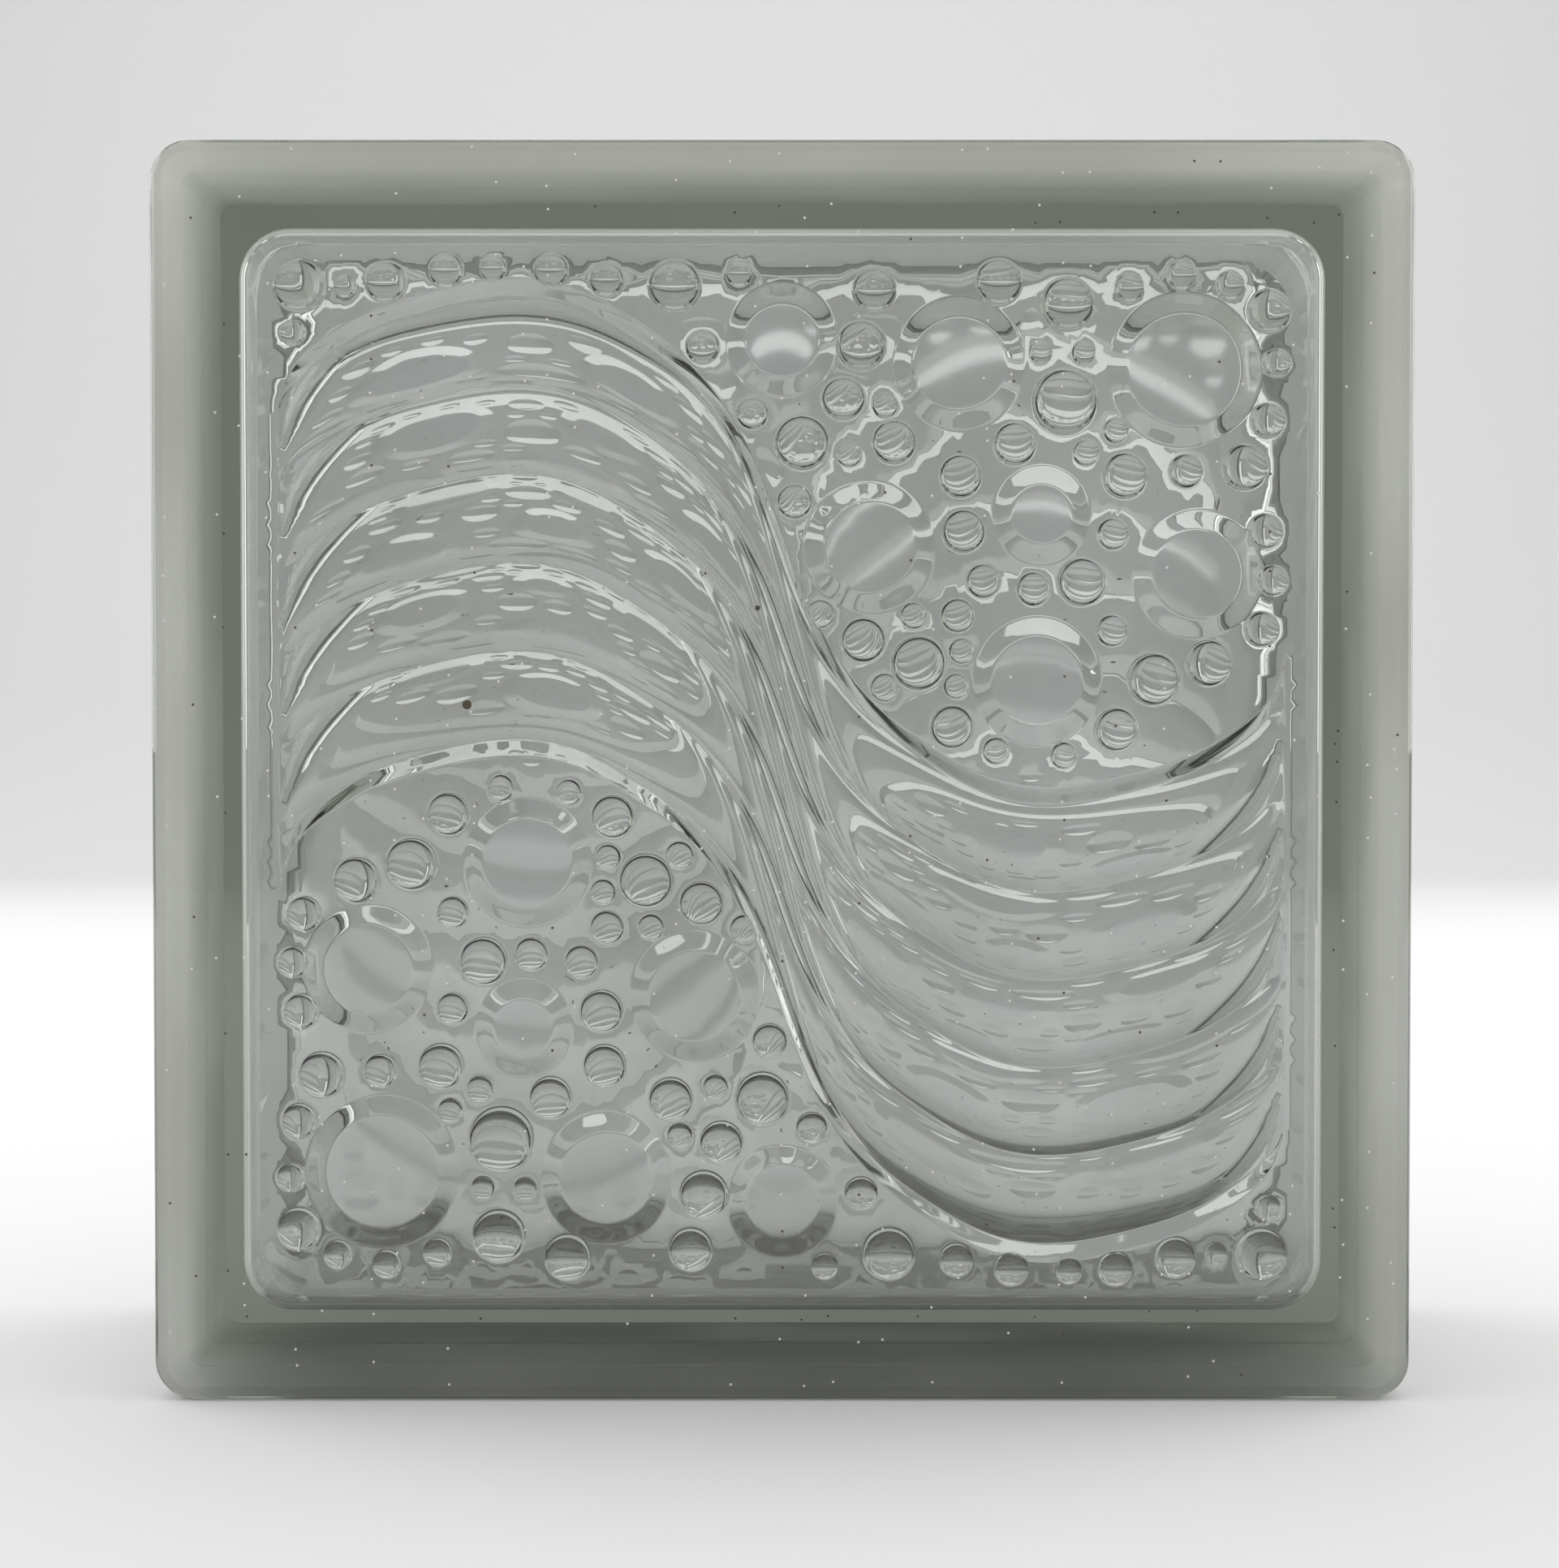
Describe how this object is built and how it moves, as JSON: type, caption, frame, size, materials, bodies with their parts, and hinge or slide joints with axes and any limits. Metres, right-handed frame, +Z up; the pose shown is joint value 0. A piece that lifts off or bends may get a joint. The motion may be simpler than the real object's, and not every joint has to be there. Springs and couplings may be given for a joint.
{
  "type": "glass block",
  "caption": "Square hollow glass block for walls and windows, with waves, dishes and bubbles pressed into its inner faces and a mortar key round its edges.",
  "frame": {"origin": "centre of the bottom edge, on the floor that the block stands on", "axes": "+X to the right seen from the front, +Y from the front face to the back face, +Z up"},
  "size_m": [0.19, 0.08, 0.19],
  "materials": {
    "glass": "clear pressed glass with a faint grey-green tint, smooth outside, grey coat on the four edges"
  },
  "bodies": {
    "root": {"glass_block": "glass"}
  },
  "joints": []
}
